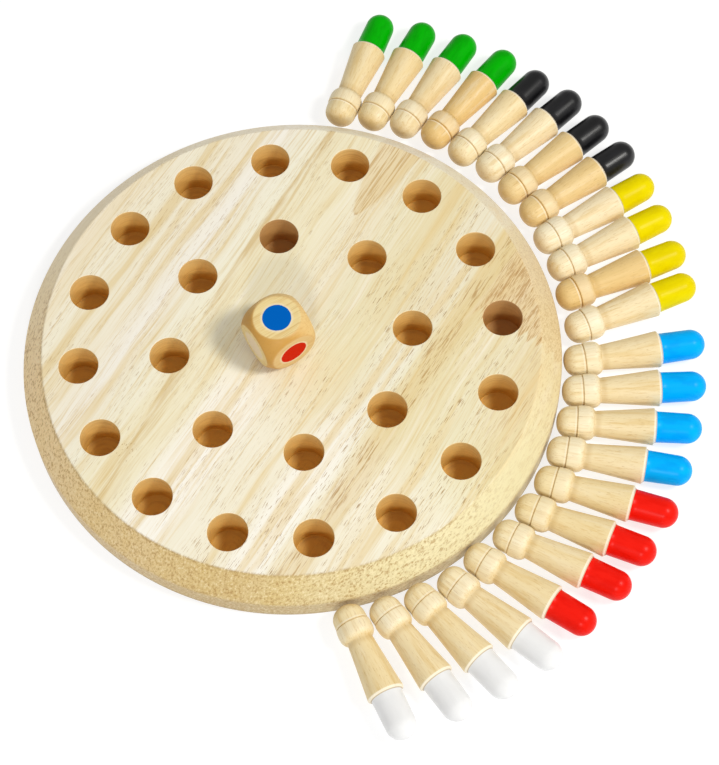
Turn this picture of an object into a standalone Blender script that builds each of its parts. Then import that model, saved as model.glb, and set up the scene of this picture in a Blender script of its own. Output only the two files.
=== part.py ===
"""Wooden memory game: a round board with 24 blind holes, 24 turned pegs and a colour die.

Metres, +Z up. The origin is the middle of the board's underside, on the table that the
pegs lie on. +Y runs from the middle of the board through the first hole of each ring.
"""

import math

import bmesh
import bpy
from mathutils import Vector

# Board
BOARD_RADIUS = 0.110
BOARD_THICKNESS = 0.021
TOP_FLAT_RADIUS = 0.1014
CHAMFER_DROP = 0.0100
TOP_EDGE_ROUND = 0.0012
SIDE_EDGE_ROUND = 0.0015
BOTTOM_EDGE_ROUND = 0.0015
BOARD_STEPS = 72
EDGE_ROUND_STEPS = 2
BOTTOM_ROUND_STEPS = 3

# Blind holes, in two rings
OUTER_RING_RADIUS = 0.0864
OUTER_RING_HOLES = 16
INNER_RING_RADIUS = 0.0495
INNER_RING_HOLES = 8
HOLE_RADIUS = 0.0080
HOLE_DEPTH = 0.0170
HOLE_CONE_DEPTH = 0.0012
HOLE_STEPS = 20
CUTTER_ABOVE = 0.005

# Peg, measured along its turning axis from the head's end
PEG_LENGTH = 0.0585
HEAD_RADIUS = 0.0066
HEAD_WIDEST_AT = 0.0054
HEAD_ROUND_STEPS = 4
GROOVE_AT = 0.0082
GROOVE_RADIUS = 0.0063
BEAD_END = 0.0153
BEAD_RADIUS = 0.0071
BEAD_FULLNESS = 0.5
BEAD_ROUND_STEPS = 4
NECK_AT = 0.0164
NECK_RADIUS = 0.0053
SKIRT_END = 0.0394
SKIRT_RADIUS = 0.0075
SHOULDER_AT = 0.0402
TIP_RADIUS = 0.0063
TIP_ROUND_STEPS = 3
PEG_STEPS = 12
PEGS_PER_COLOUR = 4

# Die
DIE_SIDE = 0.0230
DIE_BALL_RADIUS = 0.0151
DIE_BALL_STEPS = 24
DIE_PLACE = (-0.0047, -0.0008)
DIE_TURN = 27.0
DIE_GAP = 0.0003

# How the pegs lie in a fan round the board. Bearings are in degrees clockwise from +Y about
# the board's middle, distances reach from there to the middle of the head, and headings are
# in degrees anticlockwise from +X. Each row is a colour's first peg and the step to its next.
HEAD_MIDDLE_AT = 0.0054
# colour: bearing, step, distance, step, heading, step
FAN = {
    "green": (15.8, 6.75, 0.1193, 0.0008, 62.0, -6.0),
    "black": (42.8, 6.7, 0.1206, 0.0001, 40.0, -3.6),
    "yellow": (69.6, 6.8, 0.1190, -0.0005, 24.8, -3.2),
    "blue": (98.2, 6.9, 0.1161, 0.0001, 2.0, -6.3),
    "red": (125.7, 7.0, 0.1172, -0.0003, -23.6, -5.5),
    "white": (154.0, 7.0, 0.1180, -0.00045, -46.6, -8.2),
}
# Pegs that rolled a little out of line: bearing, distance and heading to add.
NUDGES = {
    "peg_black_2": (0.0, 0.0010, 0.0),
    "peg_yellow_3": (0.0, -0.0006, -1.8),
    "peg_yellow_4": (0.7, 0.0004, 0.9),
    "peg_red_3": (0.0, 0.0005, 1.2),
    "peg_red_4": (0.4, 0.0, 0.0),
    "peg_white_3": (0.0, 0.0003, 1.3),
    "peg_white_4": (0.0, 0.0, -0.8),
}

# Smooth shading breaks at edges sharper than this, in degrees, and points closer than the
# weld distance are one.
SHARP_EDGE = 35
WELD_DISTANCE = 1e-6

WOOD = (0.80, 0.62, 0.36)
WOOD_ROUGHNESS = 0.45
PAINT_ROUGHNESS = 0.18
PAINTS = {
    "green": (0.0, 0.36, 0.01),
    "black": (0.008, 0.008, 0.011),
    "yellow": (0.80, 0.62, 0.0),
    "blue": (0.01, 0.32, 0.90),
    "red": (0.85, 0.01, 0.01),
    "white": (0.85, 0.85, 0.87),
}


def material(name, colour, roughness):
    made = bpy.data.materials.new(name)
    made.use_nodes = True
    shader = made.node_tree.nodes["Principled BSDF"]
    shader.inputs["Base Color"].default_value = (*colour, 1.0)
    shader.inputs["Roughness"].default_value = roughness
    shader.inputs["Metallic"].default_value = 0.0
    return made


def arc(centre, radius, first, last, steps):
    """Points (along, out) on an arc about centre, from one angle to another in degrees."""
    points = []
    for i in range(steps + 1):
        angle = math.radians(first + (last - first) * i / steps)
        points.append((centre[0] + radius * math.cos(angle), centre[1] + radius * math.sin(angle)))
    return points


def turned(name, profile, axis, steps):
    """A closed body turned about axis from (along, out) points whose two ends lie on the axis."""
    side = Vector((1, 0, 0)) if abs(axis.z) > 0.5 else Vector((0, 0, 1))
    bm = bmesh.new()
    verts = [bm.verts.new(axis * along + side * out) for along, out in profile]
    edges = [bm.edges.new(pair) for pair in zip(verts, verts[1:])]
    bmesh.ops.spin(
        bm,
        geom=verts + edges,
        cent=(0, 0, 0),
        axis=axis,
        angle=math.tau,
        steps=steps,
        use_merge=True,
    )
    bmesh.ops.remove_doubles(bm, verts=bm.verts, dist=WELD_DISTANCE)
    bmesh.ops.recalc_face_normals(bm, faces=bm.faces)
    mesh = bpy.data.meshes.new(name)
    bm.to_mesh(mesh)
    bm.free()
    mesh.shade_smooth()
    mesh.set_sharp_from_angle(angle=math.radians(SHARP_EDGE))
    return mesh


def add(name, mesh, *materials):
    made = bpy.data.objects.new(name, mesh)
    bpy.context.scene.collection.objects.link(made)
    for m in materials:
        if m.name not in mesh.materials:
            mesh.materials.append(m)
    return made


def cutter(name, mesh):
    made = add(name, mesh)
    made.hide_render = True
    made.display_type = "WIRE"
    return made


def board_profile():
    """Up the middle of the top, over the chamfer, down the side and back under, as (z, radius)."""
    slope = math.degrees(math.atan2(BOARD_RADIUS - TOP_FLAT_RADIUS, CHAMFER_DROP))
    top = BOARD_THICKNESS
    corner = top - CHAMFER_DROP
    top_round = arc(
        (top - TOP_EDGE_ROUND, TOP_FLAT_RADIUS - TOP_EDGE_ROUND * math.tan(math.radians(45 - slope / 2))),
        TOP_EDGE_ROUND,
        0,
        90 - slope,
        EDGE_ROUND_STEPS,
    )
    side_round = arc(
        (corner - SIDE_EDGE_ROUND * math.tan(math.radians(slope / 2)), BOARD_RADIUS - SIDE_EDGE_ROUND),
        SIDE_EDGE_ROUND,
        90 - slope,
        90,
        EDGE_ROUND_STEPS,
    )
    bottom_round = arc(
        (BOTTOM_EDGE_ROUND, BOARD_RADIUS - BOTTOM_EDGE_ROUND),
        BOTTOM_EDGE_ROUND,
        90,
        180,
        BOTTOM_ROUND_STEPS,
    )
    return [(top, 0.0), *top_round, *side_round, *bottom_round, (0.0, 0.0)]


def hole_places():
    """The middle of each hole, clockwise from +Y, the outer ring first."""
    places = []
    for radius, count in ((OUTER_RING_RADIUS, OUTER_RING_HOLES), (INNER_RING_RADIUS, INNER_RING_HOLES)):
        for i in range(count):
            bearing = math.tau * i / count
            places.append((radius * math.sin(bearing), radius * math.cos(bearing)))
    return places


def make_board(wood):
    board = add("board", turned("board", board_profile(), Vector((0, 0, 1)), BOARD_STEPS), wood)
    floor = BOARD_THICKNESS - HOLE_DEPTH
    hole_profile = [
        (BOARD_THICKNESS + CUTTER_ABOVE, 0.0),
        (BOARD_THICKNESS + CUTTER_ABOVE, HOLE_RADIUS),
        (floor, HOLE_RADIUS),
        (floor - HOLE_CONE_DEPTH, 0.0),
    ]
    drill = turned("hole_drill", hole_profile, Vector((0, 0, 1)), HOLE_STEPS)
    drills = bpy.data.collections.new("hole_drills")
    bpy.context.scene.collection.children.link(drills)
    for number, (x, y) in enumerate(hole_places(), 1):
        one = cutter(f"hole_drill_{number}", drill)
        one.location = (x, y, 0)
        bpy.context.scene.collection.objects.unlink(one)
        drills.objects.link(one)
    cut = board.modifiers.new("holes", "BOOLEAN")
    cut.operation = "DIFFERENCE"
    cut.operand_type = "COLLECTION"
    cut.collection = drills
    cut.solver = "EXACT"
    return board


def peg_profile():
    """Head, groove, collar bead, neck, flared skirt, shoulder and round tip, as (along, out)."""
    head = [(0.0, 0.0)]
    for i in range(1, HEAD_ROUND_STEPS + 1):
        a = math.radians(90) * i / HEAD_ROUND_STEPS
        head.append((HEAD_WIDEST_AT * (1 - math.cos(a)), HEAD_RADIUS * math.sin(a)))
    bead_half = (BEAD_END - GROOVE_AT) / 2
    bead = []
    for i in range(1, BEAD_ROUND_STEPS):
        a = math.radians(180) * i / BEAD_ROUND_STEPS
        out = NECK_RADIUS + (BEAD_RADIUS - NECK_RADIUS) * math.sin(a) ** BEAD_FULLNESS
        bead.append((GROOVE_AT + bead_half * (1 - math.cos(a)), out))
    waist = [(NECK_AT, NECK_RADIUS)]
    skirt = [(SKIRT_END, SKIRT_RADIUS), (SHOULDER_AT, TIP_RADIUS)]
    tip = arc((PEG_LENGTH - TIP_RADIUS, 0.0), TIP_RADIUS, 90, 0, TIP_ROUND_STEPS)
    tip[-1] = (PEG_LENGTH, 0.0)
    middle = PEG_LENGTH / 2
    points = [*head, (GROOVE_AT, GROOVE_RADIUS), *bead, *waist, *skirt, *tip]
    return [(along - middle, out) for along, out in points]


def make_pegs(wood):
    """Four pegs of each colour on the table, heads towards the board and tips fanned outwards."""
    for colour, (bearing, bearing_step, reach, reach_step, heading, heading_step) in FAN.items():
        paint = material(f"paint_{colour}", PAINTS[colour], PAINT_ROUGHNESS)
        mesh = turned(f"peg_{colour}", peg_profile(), Vector((1, 0, 0)), PEG_STEPS)
        mesh.materials.append(wood)
        mesh.materials.append(paint)
        for face in mesh.polygons:
            face.material_index = 1 if face.center.x > SHOULDER_AT - PEG_LENGTH / 2 else 0
        for i in range(PEGS_PER_COLOUR):
            name = f"peg_{colour}_{i + 1}"
            peg = add(name, mesh)
            more_bearing, more_reach, more_heading = NUDGES.get(name, (0.0, 0.0, 0.0))
            at = math.radians(bearing + bearing_step * i + more_bearing)
            distance = reach + reach_step * i + more_reach
            turn = math.radians(heading + heading_step * i + more_heading)
            head = Vector((distance * math.sin(at), distance * math.cos(at), SKIRT_RADIUS))
            to_middle = PEG_LENGTH / 2 - HEAD_MIDDLE_AT
            peg.location = head + Vector((math.cos(turn), math.sin(turn), 0)) * to_middle
            peg.rotation_euler = (0, 0, turn)


def make_die(wood):
    """A cube whose corners and edges are turned away by a ball, so each face is a flat disc."""
    bm = bmesh.new()
    bmesh.ops.create_cube(bm, size=DIE_SIDE)
    mesh = bpy.data.meshes.new("die")
    bm.to_mesh(mesh)
    bm.free()
    die = add("die", mesh, wood)
    ball_profile = arc((0.0, 0.0), DIE_BALL_RADIUS, 0, 180, DIE_BALL_STEPS // 2)
    ball_profile[0] = (DIE_BALL_RADIUS, 0.0)
    ball_profile[-1] = (-DIE_BALL_RADIUS, 0.0)
    ball = cutter("die_ball", turned("die_ball", ball_profile, Vector((0, 0, 1)), DIE_BALL_STEPS))
    round_off = die.modifiers.new("round_off", "BOOLEAN")
    round_off.operation = "INTERSECT"
    round_off.object = ball
    round_off.solver = "EXACT"
    place = (*DIE_PLACE, BOARD_THICKNESS + DIE_GAP + DIE_SIDE / 2)
    for made in (die, ball):
        made.location = place
        made.rotation_euler = (0, 0, math.radians(DIE_TURN))
    return die


for old in list(bpy.data.objects):
    bpy.data.objects.remove(old, do_unlink=True)

plain_wood = material("wood", WOOD, WOOD_ROUGHNESS)
make_board(plain_wood)
make_pegs(plain_wood)
make_die(plain_wood)
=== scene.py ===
"""The looks of a wooden memory game: a drilled board, 24 turned pegs and a colour die."""

import math

import bpy
import numpy as np
from mathutils import Matrix, Vector


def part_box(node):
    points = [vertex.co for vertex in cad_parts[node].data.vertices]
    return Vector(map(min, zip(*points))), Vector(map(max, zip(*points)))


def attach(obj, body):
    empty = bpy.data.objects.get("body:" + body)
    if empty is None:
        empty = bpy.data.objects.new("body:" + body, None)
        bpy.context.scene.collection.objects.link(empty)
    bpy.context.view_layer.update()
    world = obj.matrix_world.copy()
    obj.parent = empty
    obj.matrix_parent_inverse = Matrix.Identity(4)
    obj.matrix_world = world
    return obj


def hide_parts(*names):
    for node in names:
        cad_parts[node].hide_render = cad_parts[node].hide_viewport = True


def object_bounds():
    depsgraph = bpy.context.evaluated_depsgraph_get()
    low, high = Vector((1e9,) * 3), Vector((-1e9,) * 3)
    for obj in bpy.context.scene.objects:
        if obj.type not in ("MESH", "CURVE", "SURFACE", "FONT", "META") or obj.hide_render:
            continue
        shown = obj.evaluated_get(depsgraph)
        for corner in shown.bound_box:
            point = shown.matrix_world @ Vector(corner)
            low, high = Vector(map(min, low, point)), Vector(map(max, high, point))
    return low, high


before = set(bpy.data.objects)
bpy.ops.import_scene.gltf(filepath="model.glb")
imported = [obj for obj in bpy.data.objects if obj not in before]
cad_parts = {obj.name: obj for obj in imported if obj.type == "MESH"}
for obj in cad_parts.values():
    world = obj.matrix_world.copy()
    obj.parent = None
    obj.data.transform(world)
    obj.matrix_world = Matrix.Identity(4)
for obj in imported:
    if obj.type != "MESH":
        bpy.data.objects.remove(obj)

cad_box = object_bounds()


# ---------------------------------------------------------------------------------------
# The viewpoint. A long lens looks down on the board from in front, a touch from the left,
# held with its right side slightly low.
# ---------------------------------------------------------------------------------------
board_low, board_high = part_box("board")
LENS = 109.78
VIEW_AZIMUTH = math.radians(-4.02)
VIEW_ELEVATION = math.radians(63.70)
VIEW_ROLL = math.radians(-2.864)
VIEW_DISTANCE = 0.93524
AIM_ASIDE = Vector((0.02533, -0.02181, 0.0))

aim = (board_low + board_high) / 2
aim.z = board_high.z
aim += AIM_ASIDE
away = Vector(
    (
        math.cos(VIEW_ELEVATION) * math.sin(VIEW_AZIMUTH),
        -math.cos(VIEW_ELEVATION) * math.cos(VIEW_AZIMUTH),
        math.sin(VIEW_ELEVATION),
    )
)
level_right = Vector((math.cos(VIEW_AZIMUTH), math.sin(VIEW_AZIMUTH), 0.0))
level_up = away.cross(level_right)
right = level_right * math.cos(VIEW_ROLL) + level_up * math.sin(VIEW_ROLL)
up = away.cross(right)
lens = bpy.data.cameras.new("camera")
lens.lens = LENS
lens.sensor_width = 36.0
lens.clip_start = 0.01
lens.clip_end = 20.0
camera = bpy.data.objects.new("camera", lens)
bpy.context.scene.collection.objects.link(camera)
turn = Matrix((right, up, away)).transposed().to_4x4()
camera.matrix_world = Matrix.Translation(aim + away * VIEW_DISTANCE) @ turn
bpy.context.scene.camera = camera


# ---------------------------------------------------------------------------------------
# The table and the light. The game lies on a light table, a sheet of opal acrylic lit from
# below, under one softbox on the right, a weaker one in front, and a pale room. The tone
# curve is left straight so that the table reads white.
# ---------------------------------------------------------------------------------------
def colour(hex_code):
    """An sRGB hex colour as linear RGBA."""
    parts = [int(hex_code[i : i + 2], 16) / 255 for i in (1, 3, 5)]
    return (*[p / 12.92 if p <= 0.04045 else ((p + 0.055) / 1.055) ** 2.4 for p in parts], 1.0)


def node(tree, kind, inputs=None, stops=(), **settings):
    """One node with its settings. Each input is a value, or another node's output to link, and
    stops are a ramp's (place, sRGB hex)."""
    made = tree.nodes.new(kind)
    for setting, value in settings.items():
        setattr(made, setting, value)
    for number, (place, hex_code) in enumerate(stops):
        if number >= len(made.color_ramp.elements):
            made.color_ramp.elements.new(place)
        made.color_ramp.elements[number].position = place
        made.color_ramp.elements[number].color = colour(hex_code)
    for socket, value in (inputs or {}).items():
        if isinstance(value, bpy.types.NodeSocket):
            tree.links.new(value, made.inputs[socket])
        else:
            made.inputs[socket].default_value = value
    return made


bpy.context.scene.view_settings.view_transform = "Standard"

FLOOR_HALF = 3.0
FLOOR_DROP = 0.0001  # the table lies this much under the pieces
floor_mesh = bpy.data.meshes.new("light_table")
floor_mesh.from_pydata(
    [
        (x * FLOOR_HALF, y * FLOOR_HALF, cad_box[0][2] - FLOOR_DROP)
        for x, y in ((-1, -1), (1, -1), (1, 1), (-1, 1))
    ],
    [],
    [(0, 1, 2, 3)],
)
floor = bpy.data.objects.new("light_table", floor_mesh)
bpy.context.scene.collection.objects.link(floor)
# Opal acrylic lit from below: it glows nearly white by itself, so shadows on it stay faint.
opal = bpy.data.materials.new("opal_acrylic_lit")
opal.use_nodes = True
tree = opal.node_tree
clouds = node(tree, "ShaderNodeTexNoise", {"Scale": 4.0, "Detail": 2.0})
tree.links.new(node(tree, "ShaderNodeTexCoord").outputs["Object"], clouds.inputs["Vector"])
tint = node(tree, "ShaderNodeMix", {"Factor": clouds.outputs["Fac"]}, data_type="RGBA")
tint.inputs["A"].default_value = colour("#989898")
tint.inputs["B"].default_value = colour("#9C9C9C")
shader = tree.nodes["Principled BSDF"]
shader.inputs["Roughness"].default_value = 0.9
shader.inputs["Specular IOR Level"].default_value = 0.1
shader.inputs["Emission Color"].default_value = (1.0, 1.0, 1.0, 1.0)
shader.inputs["Emission Strength"].default_value = 0.76
tree.links.new(tint.outputs["Result"], shader.inputs["Base Color"])
floor_mesh.materials.append(opal)

room = bpy.data.worlds.new("pale_room")
bpy.context.scene.world = room
room.use_nodes = True
room.node_tree.nodes["Background"].inputs["Color"].default_value = colour("#FFFEFC")
room.node_tree.nodes["Background"].inputs["Strength"].default_value = 0.45

# softbox: direction anticlockwise from +X, elevation, distance, width, height, watts, tint
SOFTBOXES = {
    "key_softbox": (-22.0, 52.0, 1.3, 0.26, 0.26, 9.6, "#FFFDF8"),
    "front_softbox": (-96.0, 37.0, 1.4, 0.22, 0.16, 4.8, "#FFFFFF"),
}
for name, (direction, elevation, distance, width, height, watts, tint_hex) in SOFTBOXES.items():
    box = bpy.data.lights.new(name, "AREA")
    box.shape = "RECTANGLE"
    box.size = width
    box.size_y = height
    box.energy = watts
    box.color = colour(tint_hex)[:3]
    lamp = bpy.data.objects.new(name, box)
    bpy.context.scene.collection.objects.link(lamp)
    towards = Vector(
        (
            math.cos(math.radians(elevation)) * math.cos(math.radians(direction)),
            math.cos(math.radians(elevation)) * math.sin(math.radians(direction)),
            math.sin(math.radians(elevation)),
        )
    )
    turned = towards.to_track_quat("Z", "Y").to_matrix().to_4x4()
    lamp.matrix_world = Matrix.Translation(towards * distance) @ turned


# ---------------------------------------------------------------------------------------
# The board. Three rubberwood staves, edge-glued, turned to a disc with a broad chamfer,
# sanded and given a thin clear lacquer; 24 blind holes are drilled in two rings with a
# flat-ended bit, and their rims are just broken with sandpaper.
# ---------------------------------------------------------------------------------------
TOP_FLAT_RADIUS = 0.1014
CHAMFER_DROP = 0.0100
TOP_EDGE_ROUND = 0.0012
SIDE_EDGE_ROUND = 0.0015
BOTTOM_EDGE_ROUND = 0.0015
OUTER_RING_RADIUS = 0.0864
INNER_RING_RADIUS = 0.0495
HOLE_RADIUS = 0.0080
HOLE_DEPTH = 0.0170
HOLE_CONE_DEPTH = 0.0012
HOLE_RIM_BREAK = 0.0003
# The grain runs 52 degrees anticlockwise from +X.
GRAIN_TURN = math.radians(38.0)


def arc(centre, radius, first, last, steps):
    """Points (along, out) on an arc about centre, from one angle to another in degrees."""
    points = []
    for i in range(steps + 1):
        angle = math.radians(first + (last - first) * i / steps)
        points.append((centre[0] + radius * math.cos(angle), centre[1] + radius * math.sin(angle)))
    return points


def chain(name, points):
    """An object that holds a turning profile: (along the axis, out from it), low end first."""
    mesh = bpy.data.meshes.new(name)
    mesh.from_pydata([(along, out, 0.0) for along, out in points], [], [])
    made = bpy.data.objects.new(name, mesh)
    bpy.context.scene.collection.objects.link(made)
    return made


def lathe_tree():
    """A node group that turns a profile about Z: a grid of columns bent round, then closed."""
    tree = bpy.data.node_groups.new("lathe", "GeometryNodeTree")
    tree.interface.new_socket("Profile", in_out="INPUT", socket_type="NodeSocketGeometry")
    tree.interface.new_socket("Steps", in_out="INPUT", socket_type="NodeSocketInt")
    tree.interface.new_socket("Turned", in_out="OUTPUT", socket_type="NodeSocketGeometry")
    given = node(tree, "NodeGroupInput")
    size = node(tree, "GeometryNodeAttributeDomainSize", {"Geometry": given.outputs["Profile"]})
    count = size.outputs["Point Count"]
    columns = node(tree, "ShaderNodeMath", {0: given.outputs["Steps"], 1: 1.0}, operation="ADD")
    grid = node(tree, "GeometryNodeMeshGrid", {"Vertices X": columns.outputs[0], "Vertices Y": count})
    index = node(tree, "GeometryNodeInputIndex").outputs[0]
    row = node(tree, "ShaderNodeMath", {0: index, 1: count}, operation="MODULO")
    ratio = node(tree, "ShaderNodeMath", {0: index, 1: count}, operation="DIVIDE")
    column = node(tree, "ShaderNodeMath", {0: ratio.outputs[0]}, operation="FLOOR")
    step = node(tree, "ShaderNodeMath", {0: math.tau, 1: given.outputs["Steps"]}, operation="DIVIDE")
    angle = node(tree, "ShaderNodeMath", {0: column.outputs[0], 1: step.outputs[0]}, operation="MULTIPLY")
    place = node(tree, "GeometryNodeInputPosition").outputs[0]
    sample = node(
        tree,
        "GeometryNodeSampleIndex",
        {"Geometry": given.outputs["Profile"], "Value": place, "Index": row.outputs[0]},
        data_type="FLOAT_VECTOR",
        domain="POINT",
    )
    parts = node(tree, "ShaderNodeSeparateXYZ", {0: sample.outputs[0]})
    cos = node(tree, "ShaderNodeMath", {0: angle.outputs[0]}, operation="COSINE")
    sin = node(tree, "ShaderNodeMath", {0: angle.outputs[0]}, operation="SINE")
    x = node(tree, "ShaderNodeMath", {0: parts.outputs["Y"], 1: cos.outputs[0]}, operation="MULTIPLY")
    y = node(tree, "ShaderNodeMath", {0: parts.outputs["Y"], 1: sin.outputs[0]}, operation="MULTIPLY")
    bent = node(tree, "ShaderNodeCombineXYZ", {"X": x.outputs[0], "Y": y.outputs[0], "Z": parts.outputs["X"]})
    moved = node(
        tree, "GeometryNodeSetPosition", {"Geometry": grid.outputs["Mesh"], "Position": bent.outputs[0]}
    )
    closed = node(
        tree, "GeometryNodeMergeByDistance", {"Geometry": moved.outputs[0], "Distance": 1e-6}
    )
    out = node(tree, "NodeGroupOutput")
    tree.links.new(closed.outputs[0], out.inputs["Turned"])
    return tree


def smooth_except_edges(tree, geometry, degrees):
    """Smooth shading with a crease at every edge sharper than that."""
    soft = node(
        tree, "GeometryNodeSetShadeSmooth", {"Geometry": geometry, "Shade Smooth": True}, domain="FACE"
    )
    angle = node(tree, "GeometryNodeInputMeshEdgeAngle").outputs["Unsigned Angle"]
    sharp = node(
        tree, "FunctionNodeCompare", {"A": angle, "B": math.radians(degrees)}, operation="GREATER_THAN"
    )
    return node(
        tree,
        "GeometryNodeSetShadeSmooth",
        {"Geometry": soft.outputs[0], "Selection": sharp.outputs[0], "Shade Smooth": False},
        domain="EDGE",
    ).outputs[0]


def grown(name, source, tree, values):
    """source's shape after a node tree, as a plain mesh object at the origin."""
    modifier = source.modifiers.new("grow", "NODES")
    modifier.node_group = tree
    for item in tree.interface.items_tree:
        if item.in_out == "INPUT" and item.name in values:
            modifier[item.identifier] = values[item.name]
    graph = bpy.context.evaluated_depsgraph_get()
    mesh = bpy.data.meshes.new_from_object(
        source.evaluated_get(graph), preserve_all_data_layers=True, depsgraph=graph
    )
    source.modifiers.remove(modifier)
    mesh.name = name
    made = bpy.data.objects.new(name, mesh)
    bpy.context.scene.collection.objects.link(made)
    return made


lathe = lathe_tree()


def board_tree():
    """The board: its outline turned, less two rings of drill bits."""
    tree = bpy.data.node_groups.new("drilled_board", "GeometryNodeTree")
    sockets = (
        ("Outline", "NodeSocketGeometry"),
        ("Drill bit", "NodeSocketObject"),
        ("Board steps", "NodeSocketInt"),
        ("Drill steps", "NodeSocketInt"),
        ("Outer ring radius", "NodeSocketFloat"),
        ("Outer holes", "NodeSocketInt"),
        ("Inner ring radius", "NodeSocketFloat"),
        ("Inner holes", "NodeSocketInt"),
        ("Drilled within", "NodeSocketFloat"),
        ("Drilled below", "NodeSocketFloat"),
        ("Sanded wood", "NodeSocketMaterial"),
        ("Drilled wood", "NodeSocketMaterial"),
    )
    for name, kind in sockets:
        tree.interface.new_socket(name, in_out="INPUT", socket_type=kind)
    tree.interface.new_socket("Board", in_out="OUTPUT", socket_type="NodeSocketGeometry")
    given = node(tree, "NodeGroupInput").outputs
    disc = node(tree, "GeometryNodeGroup", node_tree=lathe)
    tree.links.new(given["Outline"], disc.inputs["Profile"])
    tree.links.new(given["Board steps"], disc.inputs["Steps"])
    bit = node(tree, "GeometryNodeObjectInfo", {"Object": given["Drill bit"]})
    drill = node(tree, "GeometryNodeGroup", node_tree=lathe)
    tree.links.new(bit.outputs["Geometry"], drill.inputs["Profile"])
    tree.links.new(given["Drill steps"], drill.inputs["Steps"])
    both = node(tree, "GeometryNodeJoinGeometry")
    for ring in ("Outer", "Inner"):
        circle = node(
            tree,
            "GeometryNodeMeshCircle",
            {"Vertices": given[f"{ring} holes"], "Radius": given[f"{ring} ring radius"]},
            fill_type="NONE",
        )
        drills = node(
            tree, "GeometryNodeInstanceOnPoints", {"Points": circle.outputs[0], "Instance": drill.outputs[0]}
        )
        tree.links.new(drills.outputs[0], both.inputs[0])
    cutters = node(tree, "GeometryNodeRealizeInstances", {"Geometry": both.outputs[0]})
    cut = node(tree, "GeometryNodeMeshBoolean", operation="DIFFERENCE", solver="EXACT")
    tree.links.new(disc.outputs[0], cut.inputs["Mesh 1"])
    tree.links.new(cutters.outputs[0], cut.inputs["Mesh 2"])
    shaded = smooth_except_edges(tree, cut.outputs["Mesh"], 40.0)
    normal = node(tree, "ShaderNodeSeparateXYZ", {0: node(tree, "GeometryNodeInputNormal").outputs[0]})
    upright = node(tree, "ShaderNodeMath", {0: normal.outputs["Z"]}, operation="ABSOLUTE")
    level = node(
        tree, "FunctionNodeCompare", {"A": upright.outputs[0], "B": 0.99999}, operation="GREATER_THAN"
    )
    flat = node(
        tree,
        "GeometryNodeSetShadeSmooth",
        {"Geometry": shaded, "Selection": level.outputs[0], "Shade Smooth": False},
        domain="FACE",
    )
    whole = node(tree, "GeometryNodeRealizeInstances", {"Geometry": flat.outputs[0]})
    sanded = node(
        tree, "GeometryNodeSetMaterial", {"Geometry": whole.outputs[0], "Material": given["Sanded wood"]}
    )
    place = node(tree, "ShaderNodeSeparateXYZ", {0: node(tree, "GeometryNodeInputPosition").outputs[0]})
    plan = node(tree, "ShaderNodeCombineXYZ", {"X": place.outputs["X"], "Y": place.outputs["Y"]})
    reach = node(tree, "ShaderNodeVectorMath", {0: plan.outputs[0]}, operation="LENGTH")
    within = node(
        tree,
        "FunctionNodeCompare",
        {"A": reach.outputs["Value"], "B": given["Drilled within"]},
        operation="LESS_THAN",
    )
    below = node(
        tree,
        "FunctionNodeCompare",
        {"A": place.outputs["Z"], "B": given["Drilled below"]},
        operation="LESS_THAN",
    )
    above = node(tree, "FunctionNodeCompare", {"A": place.outputs["Z"], "B": 0.001}, operation="GREATER_THAN")
    inside = node(
        tree, "FunctionNodeBooleanMath", {0: within.outputs[0], 1: below.outputs[0]}, operation="AND"
    )
    drilled = node(
        tree, "FunctionNodeBooleanMath", {0: inside.outputs[0], 1: above.outputs[0]}, operation="AND"
    )
    last = node(
        tree,
        "GeometryNodeSetMaterial",
        {
            "Geometry": sanded.outputs[0],
            "Selection": drilled.outputs[0],
            "Material": given["Drilled wood"],
        },
    )
    out = node(tree, "NodeGroupOutput")
    tree.links.new(last.outputs[0], out.inputs["Board"])
    return tree


def mask(tree, *spans):
    """A number from 0 to 1: the product of eased ranges, each (value, its 0, its 1)."""
    made = 1.0
    for value, first, last in spans:
        eased = node(
            tree,
            "ShaderNodeMapRange",
            {"Value": value, "From Min": first, "From Max": last},
            interpolation_type="SMOOTHSTEP",
        )
        made = node(tree, "ShaderNodeMath", {0: eased.outputs[0], 1: made}, operation="MULTIPLY").outputs[0]
    return made


# Lays real stains and grain, and also painted shade and painted highlights, over a base colour.
def stain_and_painted_light(tree, base, hex_code, strength, *spans):
    """base with a colour laid over it, at its full strength only where every span allows."""
    cover = node(tree, "ShaderNodeMath", {0: mask(tree, *spans), 1: strength}, operation="MULTIPLY")
    laid = node(tree, "ShaderNodeMix", data_type="RGBA")
    laid.inputs[7].default_value = colour(hex_code)
    tree.links.new(cover.outputs[0], laid.inputs[0])
    if isinstance(base, bpy.types.NodeSocket):
        tree.links.new(base, laid.inputs[6])
    else:
        laid.inputs[6].default_value = base
    return laid.outputs[2]


def blotch(tree, place, scale, detail=3.0, roughness=0.55):
    """Noise whose grain is 1 / scale millimetres in each direction."""
    stretched = node(tree, "ShaderNodeVectorMath", {0: place, 1: scale}, operation="MULTIPLY")
    return node(
        tree,
        "ShaderNodeTexNoise",
        {"Vector": stretched.outputs[0], "Scale": 1.0, "Detail": detail, "Roughness": roughness},
    ).outputs["Fac"]


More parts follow.
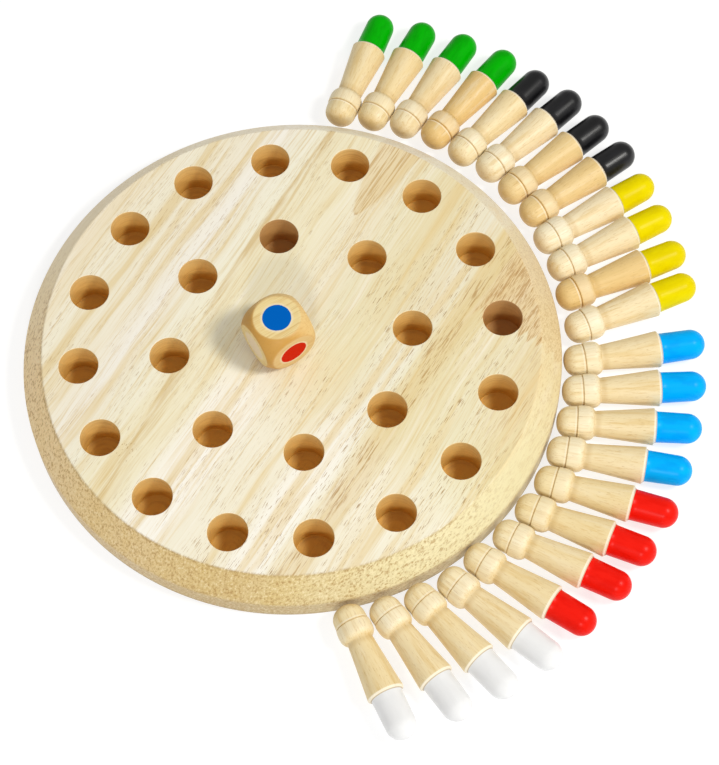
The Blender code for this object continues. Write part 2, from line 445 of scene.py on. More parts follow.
def stave_wood(tree):
    """Colour and pore height of the glued-up rubberwood, through the solid board.

    Everything is in millimetres: a across the grain, b along it.
    """
    raw = node(tree, "ShaderNodeTexCoord").outputs["Object"]
    place = node(
        tree, "ShaderNodeMapping", {"Vector": raw, "Rotation": (0, 0, GRAIN_TURN), "Scale": (1e3, 1e3, 1e3)}
    ).outputs[0]
    parts = node(tree, "ShaderNodeSeparateXYZ", {0: place}).outputs
    straight = parts["X"]
    b = parts["Y"]
    drift = blotch(tree, place, (0.03, 0.012, 0.03), 2.0)
    sway = node(tree, "ShaderNodeMath", {0: drift, 1: 9.0, 2: -4.5}, operation="MULTIPLY_ADD").outputs[0]
    a = node(tree, "ShaderNodeMath", {0: straight, 1: sway}, operation="ADD").outputs[0]
    across = node(tree, "ShaderNodeMapRange", {"Value": a, "From Min": -110.0, "From Max": 110.0})
    swayed = node(tree, "ShaderNodeCombineXYZ", {"X": a, "Y": b, "Z": parts["Z"]}).outputs[0]

    # Broad tones of each stave, from the palest sapwood on the left to honey on the right.
    tone = node(
        tree,
        "ShaderNodeValToRGB",
        {"Fac": across.outputs[0]},
        stops=(
            (0.06, "#F0E2C3"),
            (0.12, "#F2EBD3"),
            (0.15, "#F0E7CD"),
            (0.21, "#F1E9D4"),
            (0.245, "#F3EEE2"),
            (0.277, "#F0EAD5"),
            (0.31, "#F1ECD5"),
            (0.34, "#EEE4C3"),
            (0.405, "#EFE6C6"),
            (0.49, "#EEE5CB"),
            (0.535, "#E9E0BF"),
            (0.60, "#E8DDB6"),
            (0.63, "#E7DDB9"),
            (0.69, "#ECE9D7"),
            (0.725, "#E8DFBA"),
            (0.755, "#E2D4A5"),
            (0.80, "#E6DAB2"),
            (0.85, "#E7DFBE"),
            (1.00, "#E5DCAC"),
        ),
    ).outputs["Color"]

    # The wood pales towards the front, most of all along the middle stave.
    tone = stain_and_painted_light(tree, tone, "#FCF9F2", 0.40, (a, -24.0, -12.0), (b, -5.0, -45.0))
    tone = stain_and_painted_light(tree, tone, "#FCF9F2", 0.60, (a, -20.0, -12.0), (a, 8.0, 0.0), (b, -10.0, -40.0))
    tone = stain_and_painted_light(tree, tone, "#FCF9F2", 0.45, (a, 28.0, 34.0), (a, 48.0, 42.0), (b, 0.0, -40.0))
    tone = stain_and_painted_light(tree, tone, "#D8BC84", 0.15, (a, 8.0, 24.0), (b, 10.0, 45.0))

    # Growth bands: 5 to 10 mm wide, running most of the board's length.
    bands = blotch(tree, swayed, (0.16, 0.007, 0.16), 4.0, 0.6)
    tone = stain_and_painted_light(tree, tone, "#E2C88D", 0.60, (bands, 0.50, 0.68))
    tone = stain_and_painted_light(tree, tone, "#F8F3E6", 0.45, (bands, 0.46, 0.30))

    # Fibres: a millimetre or less across and a few centimetres long.
    fibres = blotch(tree, swayed, (1.3, 0.03, 1.3), 4.0, 0.65)
    tone = stain_and_painted_light(tree, tone, "#D6B878", 0.52, (fibres, 0.50, 0.70))
    tone = stain_and_painted_light(tree, tone, "#FAF5E8", 0.28, (fibres, 0.46, 0.30))

    # A warmer line where the sapwood stops: it drifts to the right towards the front.
    edge = node(
        tree,
        "ShaderNodeMapRange",
        {"Value": b, "From Min": 20.0, "From Max": -90.0, "To Min": -40.0, "To Max": -29.0},
    ).outputs[0]
    past = node(tree, "ShaderNodeMath", {0: straight, 1: edge}, operation="SUBTRACT").outputs[0]
    worn = blotch(tree, swayed, (0.35, 0.02, 0.35), 3.0, 0.6)
    tone = stain_and_painted_light(tree, tone, "#CFAE6C", 0.70, (past, -0.4, 0.8), (past, 7.0, 1.0), (worn, 0.38, 0.62))

    # Open pores: fine brown dashes 0.2 to 0.3 mm wide and 2 to 5 mm long, in drifts.
    drifts = blotch(tree, swayed, (0.10, 0.018, 0.10), 2.0)
    dash = blotch(tree, place, (3.2, 0.22, 3.2), 2.0, 0.5)
    heavy = blotch(tree, place, (1.5, 0.10, 1.5), 3.0, 0.6)
    pores = mask(tree, (dash, 0.58, 0.68), (drifts, 0.36, 0.60))
    tone = stain_and_painted_light(tree, tone, "#A57C40", 0.42, (pores, 0.0, 1.0))
    tone = stain_and_painted_light(tree, tone, "#9C743A", 0.50, (pores, 0.0, 1.0), (a, 0.0, 30.0))
    tone = stain_and_painted_light(tree, tone, "#DDC084", 0.35, (straight, 47.0, 50.5), (straight, 61.0, 55.0))
    tone = stain_and_painted_light(
        tree, tone, "#AC8142", 0.70, (heavy, 0.52, 0.66), (straight, 47.5, 50.5), (straight, 60.0, 54.0)
    )

    # A tanner length of stave at the back right, finger-jointed to the rest: 4 mm teeth.
    tooth = node(tree, "ShaderNodeMath", {0: straight, 1: 2.1}, operation="PINGPONG").outputs[0]
    joint = node(tree, "ShaderNodeMath", {0: tooth, 1: 2.4, 2: b}, operation="MULTIPLY_ADD").outputs[0]
    tan_length = ((joint, 52.6, 54.2), (a, 54.0, 60.0))
    right_edge = ((a, 76.0, 96.0), (b, -30.0, 30.0))
    tone = stain_and_painted_light(tree, tone, "#E0C08C", 0.40, *right_edge)
    tone = stain_and_painted_light(tree, tone, "#B58A4E", 0.45, (heavy, 0.52, 0.64), *right_edge)
    tone = stain_and_painted_light(tree, tone, "#E1C492", 0.62, *tan_length)
    tone = stain_and_painted_light(tree, tone, "#B28548", 0.62, (heavy, 0.50, 0.62), *tan_length)
    tone = stain_and_painted_light(tree, tone, "#A87A3E", 0.50, (dash, 0.52, 0.62), *tan_length)

    # The flame of a branch: a rounded V, open to the back, with a brown outline.
    open_from = node(tree, "ShaderNodeMath", {0: b, 1: -64.0}, operation="ADD").outputs[0]
    spread = node(tree, "ShaderNodeMath", {0: open_from, 1: 0.001}, operation="MAXIMUM").outputs[0]
    wide = node(tree, "ShaderNodeMath", {0: spread, 1: 2.7}, operation="MULTIPLY").outputs[0]
    half = node(tree, "ShaderNodeMath", {0: wide, 1: 0.5}, operation="POWER").outputs[0]
    offset = node(tree, "ShaderNodeMath", {0: a, 1: 8.0}, operation="ADD").outputs[0]
    aside = node(tree, "ShaderNodeMath", {0: offset}, operation="ABSOLUTE").outputs[0]
    within = node(tree, "ShaderNodeMath", {0: half, 1: aside}, operation="SUBTRACT").outputs[0]
    short = node(tree, "ShaderNodeMath", {0: open_from, 1: 0.0}, operation="MINIMUM").outputs[0]
    within = node(tree, "ShaderNodeMath", {0: within, 1: short}, operation="ADD").outputs[0]
    tone = stain_and_painted_light(tree, tone, "#E0C48A", 0.50, (within, -0.5, 1.0))
    tone = stain_and_painted_light(tree, tone, "#BE9655", 0.55, (within, -0.5, 1.0), (fibres, 0.50, 0.58))
    tone = stain_and_painted_light(
        tree,
        tone,
        "#B48A4A",
        0.80,
        (within, -1.2, 0.0),
        (within, 2.0, 0.4),
        (b, 92.0, 74.0),
        (worn, 0.36, 0.60),
    )

    # A little speckled knot near the front.
    knot_at = node(
        tree, "ShaderNodeVectorMath", {0: place, 1: (-31.0, -75.0, 21.0)}, operation="DISTANCE"
    ).outputs["Value"]
    specks = blotch(tree, place, (1.6, 0.8, 1.6), 1.0)
    tone = stain_and_painted_light(tree, tone, "#A57F42", 0.70, (knot_at, 7.0, 2.0), (specks, 0.62, 0.70))
    raised = node(tree, "ShaderNodeMath", {0: fibres, 1: 0.35}, operation="MULTIPLY").outputs[0]
    height = node(tree, "ShaderNodeMath", {0: raised, 1: pores}, operation="SUBTRACT").outputs[0]
    return tone, height, place


# Rubberwood, edge-glued, turned and sanded, under thin clear satin lacquer: straight pale
# fibres and short brown pores on the flat, and tanner, stippled end grain round the rim, with painted light
# and shade in the rim's tone.
sanded = bpy.data.materials.new("rubberwood_sanded_lacquered")
sanded.use_nodes = True
tree = sanded.node_tree
tone, height, place = stave_wood(tree)
plan = node(tree, "ShaderNodeVectorMath", {0: place, 1: (1.0, 1.0, 0.0)}, operation="MULTIPLY").outputs[0]
reach = node(tree, "ShaderNodeVectorMath", {0: plan}, operation="LENGTH").outputs["Value"]
parts = node(tree, "ShaderNodeSeparateXYZ", {0: place}).outputs
raw = node(
    tree, "ShaderNodeSeparateXYZ", {0: node(tree, "ShaderNodeTexCoord").outputs["Object"]}
).outputs
bearing = node(tree, "ShaderNodeMath", {0: raw["Y"], 1: raw["X"]}, operation="ARCTAN2").outputs[0]
around = node(tree, "ShaderNodeMapRange", {"Value": bearing, "From Min": -math.pi, "From Max": math.pi})
# Round the rim, anticlockwise from the left: tan at the front left, where the fibres end,
# palest at the back right and cream behind. Apart from the end grain at the front left, this ramp by bearing
# is painted light and shade.
rim_grain_and_painted_light = node(
    tree,
    "ShaderNodeValToRGB",
    {"Fac": around.outputs[0]},
    stops=(
        (0.00, "#F8D8A0"),  # left
        (0.20, "#CCAE68"),  # front left, across the ends of the fibres
        (0.30, "#E0D4A4"),  # front
        (0.42, "#E0D8B0"),  # front right
        (0.50, "#E4D0A0"),  # right
        (0.65, "#FFFFF8"),  # back right, along the fibres
        (0.74, "#F6E8C8"),  # back
        (0.92, "#FCE8BC"),  # back left
        (1.00, "#F8D8A0"),  # left again
    ),
).outputs["Color"]
facing_end = node(tree, "ShaderNodeMath", {0: parts["Y"], 1: reach}, operation="DIVIDE").outputs[0]
opaque = node(
    tree,
    "ShaderNodeMapRange",
    {"Value": facing_end, "From Min": -0.3, "From Max": 0.2, "To Min": 0.88, "To Max": 0.50},
).outputs[0]
cover = node(
    tree, "ShaderNodeMath", {0: mask(tree, (reach, 101.1, 101.8)), 1: opaque}, operation="MULTIPLY"
).outputs[0]
tone = node(tree, "ShaderNodeMix", {0: cover, 6: tone, 7: rim_grain_and_painted_light}, data_type="RGBA").outputs[2]
rim = (reach, 101.2, 101.9)
stipple = blotch(tree, place, (1.1, 0.35, 1.1), 3.0, 0.75)
# Darker down the rim's wall and darkest at its foot: painted shade, where the wall turns from the light and
# meets the table.
tone = stain_and_painted_light(tree, tone, "#B09A76", 0.45, rim, (parts["Z"], 12.5, 8.5))
tone = stain_and_painted_light(tree, tone, "#7C6A50", 0.55, rim, (parts["Z"], 3.2, 0.6))
tone = stain_and_painted_light(tree, tone, "#A57C40", 0.70, rim, (stipple, 0.50, 0.64), (facing_end, 0.10, -0.55))
tone = stain_and_painted_light(tree, tone, "#F6E9C4", 0.45, rim, (stipple, 0.46, 0.34), (facing_end, 0.10, -0.55))
tone = stain_and_painted_light(tree, tone, "#B98F50", 0.35, rim, (stipple, 0.52, 0.68), (facing_end, -0.20, 0.30))
tone = stain_and_painted_light(
    tree, tone, "#A08048", 0.45, (reach, 100.6, 101.4), (reach, 102.4, 101.6), (facing_end, 0.0, -0.5),
    (stipple, 0.36, 0.54),
)
relief = node(tree, "ShaderNodeBump", {"Height": height, "Strength": 0.25, "Distance": 0.00012})
gloss = node(tree, "ShaderNodeMapRange", {"Value": height, "To Min": 0.50, "To Max": 0.42})
shader = tree.nodes["Principled BSDF"]
shader.inputs["IOR"].default_value = 1.5
shader.inputs["Specular IOR Level"].default_value = 0.30
tree.links.new(tone, shader.inputs["Base Color"])
tree.links.new(gloss.outputs[0], shader.inputs["Roughness"])
tree.links.new(relief.outputs[0], shader.inputs["Normal"])

# The same wood cut by the drill, tinted amber, with fine rings left by the bit. The walls go from
# amber at the rim to brown at the bottom: painted shade, deepening down the hole.
bored = bpy.data.materials.new("rubberwood_drilled")
bored.use_nodes = True
tree = bored.node_tree
tone, height, place = stave_wood(tree)
raw = node(tree, "ShaderNodeTexCoord").outputs["Object"]
depth = node(
    tree,
    "ShaderNodeMapRange",
    {
        "Value": node(tree, "ShaderNodeSeparateXYZ", {0: raw}).outputs["Z"],
        "From Min": board_high.z,
        "From Max": board_high.z - HOLE_DEPTH,
    },
).outputs[0]
amber_with_depth_shade = node(
    tree,
    "ShaderNodeValToRGB",
    {"Fac": depth},
    stops=((0.0, "#F0D29A"), (0.06, "#EDC985"), (0.5, "#EBC374"), (1.0, "#E2B55C")),
).outputs["Color"]
tone = node(
    tree, "ShaderNodeMix", {0: 0.30, 6: amber_with_depth_shade, 7: tone}, data_type="RGBA", blend_type="MULTIPLY"
).outputs[2]
rings = blotch(tree, place, (0.05, 0.05, 2.4), 3.0, 0.6)
tone = stain_and_painted_light(tree, tone, "#B8823C", 0.35, (rings, 0.48, 0.66))
# Two holes run into redder heartwood.
for x, y in ((OUTER_RING_RADIUS, 0.0), (0.0, INNER_RING_RADIUS)):
    near = node(tree, "ShaderNodeVectorMath", {0: raw, 1: (x, y, 0.012)}, operation="DISTANCE")
    tone = stain_and_painted_light(tree, tone, "#A8704A", 0.50, (near.outputs["Value"], 0.016, 0.012))
relief = node(tree, "ShaderNodeBump", {"Height": rings, "Strength": 0.35, "Distance": 0.0002})
shader = tree.nodes["Principled BSDF"]
shader.inputs["IOR"].default_value = 1.5
shader.inputs["Roughness"].default_value = 0.55
shader.inputs["Specular IOR Level"].default_value = 0.25
tree.links.new(tone, shader.inputs["Base Color"])
tree.links.new(relief.outputs[0], shader.inputs["Normal"])

board_radius = (board_high.x - board_low.x) / 2
top = board_high.z
slope = math.degrees(math.atan2(board_radius - TOP_FLAT_RADIUS, CHAMFER_DROP))
corner = top - CHAMFER_DROP
outline = chain(
    "board_outline",
    [
        (0.0, 0.0),
        *arc((BOTTOM_EDGE_ROUND, board_radius - BOTTOM_EDGE_ROUND), BOTTOM_EDGE_ROUND, 180, 90, 8),
        *arc(
            (corner - SIDE_EDGE_ROUND * math.tan(math.radians(slope / 2)), board_radius - SIDE_EDGE_ROUND),
            SIDE_EDGE_ROUND,
            90,
            90 - slope,
            8,
        ),
        *arc(
            (top - TOP_EDGE_ROUND, TOP_FLAT_RADIUS - TOP_EDGE_ROUND * math.tan(math.radians(45 - slope / 2))),
            TOP_EDGE_ROUND,
            90 - slope,
            0,
            8,
        ),
        (top, 0.0),
    ],
)
# The bit flares at the top so that it leaves a rounded rim: its flank leans from upright at
# the wall to nearly flat just above the board.
hole_floor = top - HOLE_DEPTH
rim_break = [
    (
        top - HOLE_RIM_BREAK * (1 - math.sin(math.radians(lean))),
        HOLE_RADIUS + HOLE_RIM_BREAK * (1 - math.cos(math.radians(lean))),
    )
    for lean in (0, 25, 50, 72)
]
bit = chain(
    "drill_bit",
    [
        (hole_floor - HOLE_CONE_DEPTH, 0.0),
        (hole_floor, HOLE_RADIUS - 0.0004),
        (hole_floor + 0.0004, HOLE_RADIUS),
        *rim_break,
        (top + 0.2 * HOLE_RIM_BREAK, HOLE_RADIUS + 2 * HOLE_RIM_BREAK),
        (top + 0.005, HOLE_RADIUS + 2 * HOLE_RIM_BREAK),
        (top + 0.005, 0.0),
    ],
)
board = grown(
    "rubberwood_board",
    outline,
    board_tree(),
    {
        "Drill bit": bit,
        "Board steps": 256,
        "Drill steps": 72,
        "Outer ring radius": OUTER_RING_RADIUS,
        "Outer holes": 16,
        "Inner ring radius": INNER_RING_RADIUS,
        "Inner holes": 8,
        "Drilled within": 0.0985,
        "Drilled below": top - 0.00005,
        "Sanded wood": sanded,
        "Drilled wood": bored,
    },
)
for made in (outline, bit):
    bpy.data.objects.remove(made)
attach(board, "board")
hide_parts("board")


# ---------------------------------------------------------------------------------------
# The pegs. Each is one piece of rubberwood turned on a small lathe: a round head, a knife
# line, a collar bead, a neck and a skirt that flares to a shoulder. The stub beyond it is
# dipped in gloss enamel, in six colours, four pegs of each.
# ---------------------------------------------------------------------------------------
PEG_LENGTH = 0.0585
HEAD_LENGTH = 0.0080
HEAD_DOME = 0.0060
HEAD_DOME_FULLNESS = 2.2
HEAD_RADIUS = 0.0066
KNIFE_LINE_WIDTH = 0.00060
KNIFE_LINE_DEPTH = 0.00024
BEAD_END = 0.0153
BEAD_RADIUS = 0.0071
NECK_AT = 0.0164
NECK_RADIUS = 0.0053
SKIRT_END = 0.0392
SKIRT_RADIUS = 0.0075
SHOULDER_AT = 0.0400
STUB_ROOT_RADIUS = 0.0063
STUB_RADIUS = 0.0061
PEG_STEPS = 64

peg_line = []
for i in range(25):
    swing = math.radians(90 * i / 24)
    peg_line.append(
        (
            HEAD_DOME * (1 - math.cos(swing) ** (2 / HEAD_DOME_FULLNESS)),
            HEAD_RADIUS * math.sin(swing) ** (2 / HEAD_DOME_FULLNESS),
        )
    )
peg_line.append((HEAD_LENGTH, HEAD_RADIUS + 0.0001))
peg_line.append((HEAD_LENGTH + KNIFE_LINE_WIDTH / 2, HEAD_RADIUS - KNIFE_LINE_DEPTH))
bead_start = HEAD_LENGTH + KNIFE_LINE_WIDTH
for i in range(21):
    share = i / 20
    swell = math.sin(math.pi * (0.22 + 0.78 * share))
    inner = HEAD_RADIUS + (NECK_RADIUS - HEAD_RADIUS) * share**3
    out = inner + (BEAD_RADIUS - inner) * max(swell, 0.0) ** 0.8
    peg_line.append((bead_start + (BEAD_END - bead_start) * share, out))
for i in range(1, 4):
    share = i / 3
    dip = 0.0001 * math.sin(math.pi * share)
    peg_line.append((BEAD_END + (NECK_AT - BEAD_END) * share, NECK_RADIUS - dip))
for i in range(1, 17):
    share = i / 16
    peg_line.append(
        (
            NECK_AT + (SKIRT_END - 0.0003 - NECK_AT) * share,
            NECK_RADIUS + (SKIRT_RADIUS - NECK_RADIUS) * share**1.08,
        )
    )
peg_line += arc((SKIRT_END - 0.0003, SKIRT_RADIUS - 0.0004), 0.0004, 75, 0, 4)
peg_line.append((SHOULDER_AT, STUB_ROOT_RADIUS + 0.00015))
peg_line.append((SHOULDER_AT + 0.0002, STUB_ROOT_RADIUS))
tip_centre = PEG_LENGTH - STUB_RADIUS
for i in range(1, 7):
    share = i / 6
    peg_line.append(
        (
            SHOULDER_AT + 0.0002 + (tip_centre - SHOULDER_AT - 0.0002) * share,
            STUB_ROOT_RADIUS + (STUB_RADIUS - STUB_ROOT_RADIUS) * share,
        )
    )
peg_line += arc((tip_centre, 0.0), STUB_RADIUS, 90, 0, 20)[1:-1]
peg_line.append((PEG_LENGTH, 0.0))


def peg_tree():
    """A peg: its profile turned, given its own grain, laid on its side and aimed."""
    tree = bpy.data.node_groups.new("turned_peg", "GeometryNodeTree")
    sockets = (
        ("Profile", "NodeSocketGeometry"),
        ("Steps", "NodeSocketInt"),
        ("Head end", "NodeSocketVector"),
        ("Heading", "NodeSocketFloat"),
        ("Seed", "NodeSocketFloat"),
        ("Warmth", "NodeSocketFloat"),
        ("Dipped from", "NodeSocketFloat"),
        ("Wood", "NodeSocketMaterial"),
        ("Enamel", "NodeSocketMaterial"),
    )
    for name, kind in sockets:
        tree.interface.new_socket(name, in_out="INPUT", socket_type=kind)
    tree.interface.new_socket("Peg", in_out="OUTPUT", socket_type="NodeSocketGeometry")
    given = node(tree, "NodeGroupInput").outputs
    body = node(tree, "GeometryNodeGroup", node_tree=lathe)
    tree.links.new(given["Profile"], body.inputs["Profile"])
    tree.links.new(given["Steps"], body.inputs["Steps"])
    shaded = smooth_except_edges(tree, body.outputs[0], 38.0)
    place = node(tree, "GeometryNodeInputPosition").outputs[0]
    in_mm = node(tree, "ShaderNodeVectorMath", {0: place, "Scale": 1000.0}, operation="SCALE")
    apart = node(
        tree, "ShaderNodeVectorMath", {0: (37.0, 53.0, 0.0), "Scale": given["Seed"]}, operation="SCALE"
    )
    own = node(tree, "ShaderNodeVectorMath", {0: in_mm.outputs[0], 1: apart.outputs[0]}, operation="ADD")
    grain = node(
        tree,
        "GeometryNodeStoreNamedAttribute",
        {"Geometry": shaded, "Name": "grain", "Value": own.outputs[0]},
        data_type="FLOAT_VECTOR",
        domain="POINT",
    )
    warm = node(
        tree,
        "GeometryNodeStoreNamedAttribute",
        {"Geometry": grain.outputs[0], "Name": "warmth", "Value": given["Warmth"]},
        data_type="FLOAT",
        domain="POINT",
    )
    along = node(tree, "ShaderNodeSeparateXYZ", {0: place}).outputs["Z"]
    dipped = node(
        tree, "FunctionNodeCompare", {"A": along, "B": given["Dipped from"]}, operation="GREATER_THAN"
    )
    kept = node(tree, "GeometryNodeCaptureAttribute", {"Geometry": warm.outputs[0]}, domain="FACE")
    kept.capture_items.new("BOOLEAN", "dipped")
    tree.links.new(dipped.outputs[0], kept.inputs["dipped"])
    angles = node(tree, "ShaderNodeCombineXYZ", {"Y": math.pi / 2, "Z": given["Heading"]})
    aim = node(tree, "FunctionNodeEulerToRotation", {0: angles.outputs[0]})
    laid = node(
        tree,
        "GeometryNodeTransform",
        {
            "Geometry": kept.outputs["Geometry"],
            "Translation": given["Head end"],
            "Rotation": aim.outputs[0],
        },
    )
    whole = node(tree, "GeometryNodeRealizeInstances", {"Geometry": laid.outputs[0]})
    wooden = node(tree, "GeometryNodeSetMaterial", {"Geometry": whole.outputs[0], "Material": given["Wood"]})
    painted = node(
        tree,
        "GeometryNodeSetMaterial",
        {"Geometry": wooden.outputs[0], "Selection": kept.outputs["dipped"], "Material": given["Enamel"]},
    )
    out = node(tree, "NodeGroupOutput")
    tree.links.new(painted.outputs[0], out.inputs["Peg"])
    return tree


# Turned rubberwood under clear lacquer: cream to honey, straight fibres along the peg, end grain on
# the round of the head, and a knife line darkened with painted shade, with a painted highlight on the lip
# behind it.
spindle = bpy.data.materials.new("rubberwood_turned_lacquered")
spindle.use_nodes = True
tree = spindle.node_tree
place = node(tree, "ShaderNodeAttribute", attribute_name="grain").outputs["Vector"]
warmth = node(tree, "ShaderNodeAttribute", attribute_name="warmth").outputs["Fac"]
along = node(tree, "ShaderNodeSeparateXYZ", {0: place}).outputs["Z"]
tone = node(
    tree,
    "ShaderNodeValToRGB",
    {"Fac": warmth},
    stops=((0.0, "#F3E8CA"), (0.5, "#EAD7A8"), (1.0, "#E2BE7A")),
).outputs["Color"]
bands = blotch(tree, place, (0.30, 0.30, 0.02), 3.0, 0.6)
tone = stain_and_painted_light(tree, tone, "#D8B876", 0.50, (bands, 0.50, 0.68))
tone = stain_and_painted_light(tree, tone, "#F2E8CC", 0.40, (bands, 0.46, 0.32))
fibres = blotch(tree, place, (1.8, 1.8, 0.06), 4.0, 0.65)
tone = stain_and_painted_light(tree, tone, "#CBA461", 0.45, (fibres, 0.50, 0.70))
dash = blotch(tree, place, (3.0, 3.0, 0.25), 2.0, 0.5)
pores = mask(tree, (dash, 0.62, 0.72))
tone = stain_and_painted_light(tree, tone, "#A97F42", 0.45, (pores, 0.0, 1.0))
tone = stain_and_painted_light(tree, tone, "#CDA25C", 0.45, (along, 4.5, 0.0))
# A painted highlight on the lip before the knife line, then painted shade in its groove.
tone = stain_and_painted_light(tree, tone, "#F6EFDA", 0.45, (along, 7.2, 7.6), (along, 8.0, 7.8))
tone = stain_and_painted_light(tree, tone, "#B0803C", 0.35, (along, 8.05, 8.20), (along, 8.55, 8.40))
tone = stain_and_painted_light(tree, tone, "#F6F0DE", 0.22, (along, 8.5, 9.2), (along, 15.0, 13.0))
tone = stain_and_painted_light(tree, tone, "#DFBF80", 0.22, (along, 15.5, 17.5))
# Darker at the neck: painted shade in the waist between the bead and the skirt.
tone = stain_and_painted_light(tree, tone, "#C7A25F", 0.35, (along, 14.2, 15.6), (along, 19.0, 16.4))
# A pale ring on the skirt's rounded end: bare wood, made paler with a painted highlight where the edge faces
# the light.
tone = stain_and_painted_light(tree, tone, "#F8F2E2", 0.65, (along, 38.6, 39.1))
# A dark line where the stub leaves the shoulder: painted shade in that corner.
tone = stain_and_painted_light(tree, tone, "#8E6C3A", 0.60, (along, 39.55, 39.85))
raised = node(tree, "ShaderNodeMath", {0: fibres, 1: pores}, operation="SUBTRACT").outputs[0]
relief = node(tree, "ShaderNodeBump", {"Height": raised, "Strength": 0.2, "Distance": 0.0001})
shader = tree.nodes["Principled BSDF"]
shader.inputs["IOR"].default_value = 1.5
shader.inputs["Roughness"].default_value = 0.42
shader.inputs["Specular IOR Level"].default_value = 0.28
tree.links.new(tone, shader.inputs["Base Color"])
tree.links.new(relief.outputs[0], shader.inputs["Normal"])

# Enamel on wood: a hard bright skin, slightly wavy where the dip ran, with the fibres still
# telegraphing through it. Black is the glossiest; white is milky and lets light through, so
# it has no hard shadow side. Each is the paint, the paint where it is thicker, and its gloss.
ENAMELS = {
    "green": ("#00AC00", "#00A000", 0.09),
    "black": ("#0C0C0E", "#151518", 0.42),
    "yellow": ("#E2D000", "#DCC800", 0.05),
    "blue": ("#00AAF4", "#00A0EE", 0.06),
    "red": ("#E81A0C", "#E01406", 0.09),
    "white": ("#E2E2E2", "#E0E0E0", 0.02),
}
enamels = {}
for name, (main, shade, level) in ENAMELS.items():
    enamel = bpy.data.materials.new(f"gloss_enamel_{name}")
    enamel.use_nodes = True
    tree = enamel.node_tree
    place = node(tree, "ShaderNodeAttribute", attribute_name="grain").outputs["Vector"]
    mottle = blotch(tree, place, (0.35, 0.35, 0.12), 3.0)
    tone = stain_and_painted_light(tree, colour(main), shade, 1.0, (mottle, 0.42, 0.66))
    fibres = blotch(tree, place, (1.1, 1.1, 0.10), 2.0)
    relief = node(tree, "ShaderNodeBump", {"Height": fibres, "Strength": 0.20, "Distance": 0.0002})
    shader = tree.nodes["Principled BSDF"]
    shader.inputs["IOR"].default_value = 1.5
    shader.inputs["Roughness"].default_value = 0.30
    shader.inputs["Specular IOR Level"].default_value = level
    if name == "white":
        shader.inputs["Subsurface Weight"].default_value = 0.8
        shader.inputs["Subsurface Radius"].default_value = (1.0, 1.0, 1.0)
        shader.inputs["Subsurface Scale"].default_value = 0.005
    tree.links.new(tone, shader.inputs["Base Color"])
    tree.links.new(relief.outputs[0], shader.inputs["Normal"])
    enamels[name] = enamel

# Some blanks are warmer than others: 0 is cream, 1 is honey.
WARMTH = {
    "peg_green_1": 0.45, "peg_green_2": 0.55, "peg_green_3": 0.30, "peg_green_4": 0.95,
    "peg_black_1": 0.40, "peg_black_2": 0.20, "peg_black_3": 0.75, "peg_black_4": 0.80,
    "peg_yellow_1": 0.10, "peg_yellow_2": 0.25, "peg_yellow_3": 0.90, "peg_yellow_4": 0.25,
    "peg_blue_1": 0.35, "peg_blue_2": 0.30, "peg_blue_3": 0.35, "peg_blue_4": 0.30,
    "peg_red_1": 0.50, "peg_red_2": 0.50, "peg_red_3": 0.40, "peg_red_4": 0.40,
    "peg_white_1": 0.30, "peg_white_2": 0.40, "peg_white_3": 0.35, "peg_white_4": 0.45,
}
profile = chain("peg_profile", peg_line)
turned_peg = peg_tree()
board_middle = (board_low + board_high) / 2
for seed, (name, warmth) in enumerate(WARMTH.items(), 1):
    points = np.array([v.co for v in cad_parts[name].data.vertices])
    one_end = points[np.linalg.norm(points - points.mean(0), axis=1).argmax()]
    other_end = points[np.linalg.norm(points - one_end, axis=1).argmax()]
    head, tip = sorted((Vector(one_end), Vector(other_end)), key=lambda p: (p - board_middle).length)
    heading = math.atan2(tip.y - head.y, tip.x - head.x)
    colour_name = name.split("_")[1]
    peg = grown(
        f"{name}_turned",
        profile,
        turned_peg,
        {
            "Steps": PEG_STEPS,
            "Head end": head,
            "Heading": heading,
            "Seed": float(seed),
            "Warmth": warmth,
            "Dipped from": SHOULDER_AT,
            "Wood": spindle,
            "Enamel": enamels[colour_name],
        },
    )
    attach(peg, name)
    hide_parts(name)
bpy.data.objects.remove(profile)


# ---------------------------------------------------------------------------------------
# The die. A rubberwood cube tumbled in a ball-shaped jig, so each face is left as a flat
# disc; the rounded parts show more end grain and are more golden. Each face has one spot of
# screen-printed paint in a peg colour.
# ---------------------------------------------------------------------------------------
DIE_SIDE = 0.0230
DIE_BALL_RADIUS = 0.0151
DIE_TURN = math.radians(27.0)
DIE_EDGE_ROUND = 0.0003
DIE_CELLS = 72
SPOT_RADIUS_MM = 5.8
# spot: the face's axis, its side, and its paint
SPOTS = (
    (2, 1, "#005FBA"),
    (1, -1, "#C81E00"),
    (0, -1, "#E8D6B8"),
    (0, 1, "#17181C"),
    (1, 1, "#E0CB08"),
    (2, -1, "#1A9A1C"),
)

cells = np.tan(np.linspace(-math.pi / 4, math.pi / 4, DIE_CELLS + 1))
corners, faces = [], []
for axis in range(3):
    for side in (-1, 1):
        first = len(corners)
        for u in cells:
            for v in cells:
                ray = [0.0, 0.0, 0.0]
                ray[axis], ray[(axis + 1) % 3], ray[(axis + 2) % 3] = side, u * side, v
                length = math.sqrt(sum(c * c for c in ray))
                to_face = DIE_SIDE / 2 * length
                gap = max(DIE_EDGE_ROUND * 2 - abs(to_face - DIE_BALL_RADIUS), 0.0) / (DIE_EDGE_ROUND * 2)
                reach = min(to_face, DIE_BALL_RADIUS) - gap * gap * DIE_EDGE_ROUND / 2
                corners.append([c / length * reach for c in ray])
        for i in range(DIE_CELLS):
            for j in range(DIE_CELLS):
                a = first + i * (DIE_CELLS + 1) + j
                faces.append((a, a + DIE_CELLS + 1, a + DIE_CELLS + 2, a + 1))
die_mesh = bpy.data.meshes.new("colour_die")
die_mesh.from_pydata(corners, [], faces)
grain = die_mesh.attributes.new("grain", "FLOAT_VECTOR", "POINT")
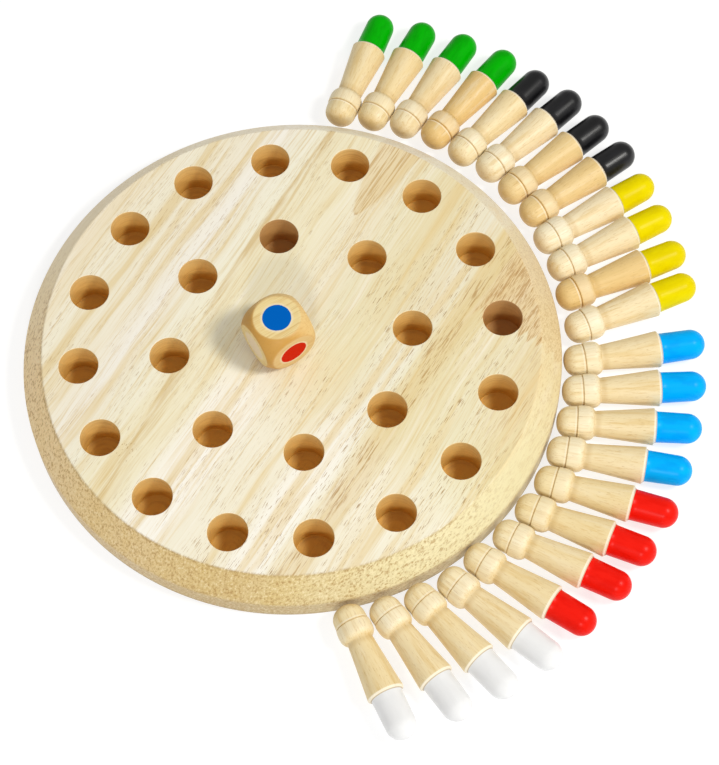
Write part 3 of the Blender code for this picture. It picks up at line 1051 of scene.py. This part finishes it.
grain.data.foreach_set("vector", (np.array(corners) * 1000.0).ravel())
die_low, die_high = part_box("die")
die_mesh.transform(
    Matrix.Translation((die_low + die_high) / 2) @ Matrix.Rotation(DIE_TURN, 4, "Z")
)
die = bpy.data.objects.new("colour_die", die_mesh)
bpy.context.scene.collection.objects.link(die)

# Tumbled rubberwood with a wax shine, and flat poster-bright screen ink on its faces.
tumbled = bpy.data.materials.new("rubberwood_tumbled_printed")
tumbled.use_nodes = True
tree = tumbled.node_tree
place = node(tree, "ShaderNodeAttribute", attribute_name="grain").outputs["Vector"]
from_middle = node(tree, "ShaderNodeVectorMath", {0: place}, operation="LENGTH").outputs["Value"]
axes = node(tree, "ShaderNodeSeparateXYZ", {0: place}).outputs
fibres = blotch(tree, place, (0.08, 1.5, 1.5), 4.0, 0.65)
bands = blotch(tree, place, (0.03, 0.35, 0.35), 3.0, 0.6)
# Painted shade: the rounded wood darkens to gold towards the die's front-left corner, turned away from the
# key light.
shaded_side = node(tree, "ShaderNodeMath", {0: axes["Y"], 1: 0.45, 2: axes["X"]}, operation="MULTIPLY_ADD")
ball = (from_middle, 14.7, 15.1)
tone = stain_and_painted_light(tree, colour("#E9D296"), "#D8B370", 0.55, (bands, 0.46, 0.66))
tone = stain_and_painted_light(tree, tone, "#DDB673", 0.70, ball)
tone = stain_and_painted_light(tree, tone, "#C08A30", 0.80, ball, (shaded_side.outputs[0], 6.0, -7.0))
# The front face, the one with the red spot, is darker: painted shade.
tone = stain_and_painted_light(tree, tone, "#C99A5C", 0.50, (axes["Y"], -11.0, -11.4))
tone = stain_and_painted_light(tree, tone, "#B98A40", 0.35, (fibres, 0.50, 0.68))
edge_wobble = node(tree, "ShaderNodeMath", {0: fibres, 1: 0.5, 2: -0.25}, operation="MULTIPLY_ADD").outputs[0]
inked = 0.0
for axis, side, ink in SPOTS:
    keep = [0.0 if i == axis else 1.0 for i in range(3)]
    flat_place = node(tree, "ShaderNodeVectorMath", {0: place, 1: keep}, operation="MULTIPLY").outputs[0]
    out = node(tree, "ShaderNodeVectorMath", {0: flat_place}, operation="LENGTH").outputs["Value"]
    out = node(tree, "ShaderNodeMath", {0: out, 1: edge_wobble}, operation="ADD").outputs[0]
    facing = (axes[axis], side * 10.9, side * 11.0)
    spot = (out, SPOT_RADIUS_MM + 0.08, SPOT_RADIUS_MM - 0.08)
    tone = stain_and_painted_light(tree, tone, "#F4ECDA", 0.35, facing, (out, SPOT_RADIUS_MM + 1.2, SPOT_RADIUS_MM + 0.3))
    tone = stain_and_painted_light(tree, tone, ink, 1.0, facing, spot)
    inked = node(tree, "ShaderNodeMath", {0: mask(tree, facing, spot), 1: inked}, operation="ADD").outputs[0]
relief = node(tree, "ShaderNodeBump", {"Height": fibres, "Strength": 0.2, "Distance": 0.0001})
sheen = node(tree, "ShaderNodeMapRange", {"Value": inked, "To Min": 0.28, "To Max": 0.02})
shader = tree.nodes["Principled BSDF"]
shader.inputs["IOR"].default_value = 1.5
shader.inputs["Roughness"].default_value = 0.46
tree.links.new(sheen.outputs[0], shader.inputs["Specular IOR Level"])
tree.links.new(tone, shader.inputs["Base Color"])
tree.links.new(relief.outputs[0], shader.inputs["Normal"])
die_mesh.materials.append(tumbled)
for polygon in die_mesh.polygons:
    polygon.use_smooth = True
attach(die, "die")
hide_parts("die")
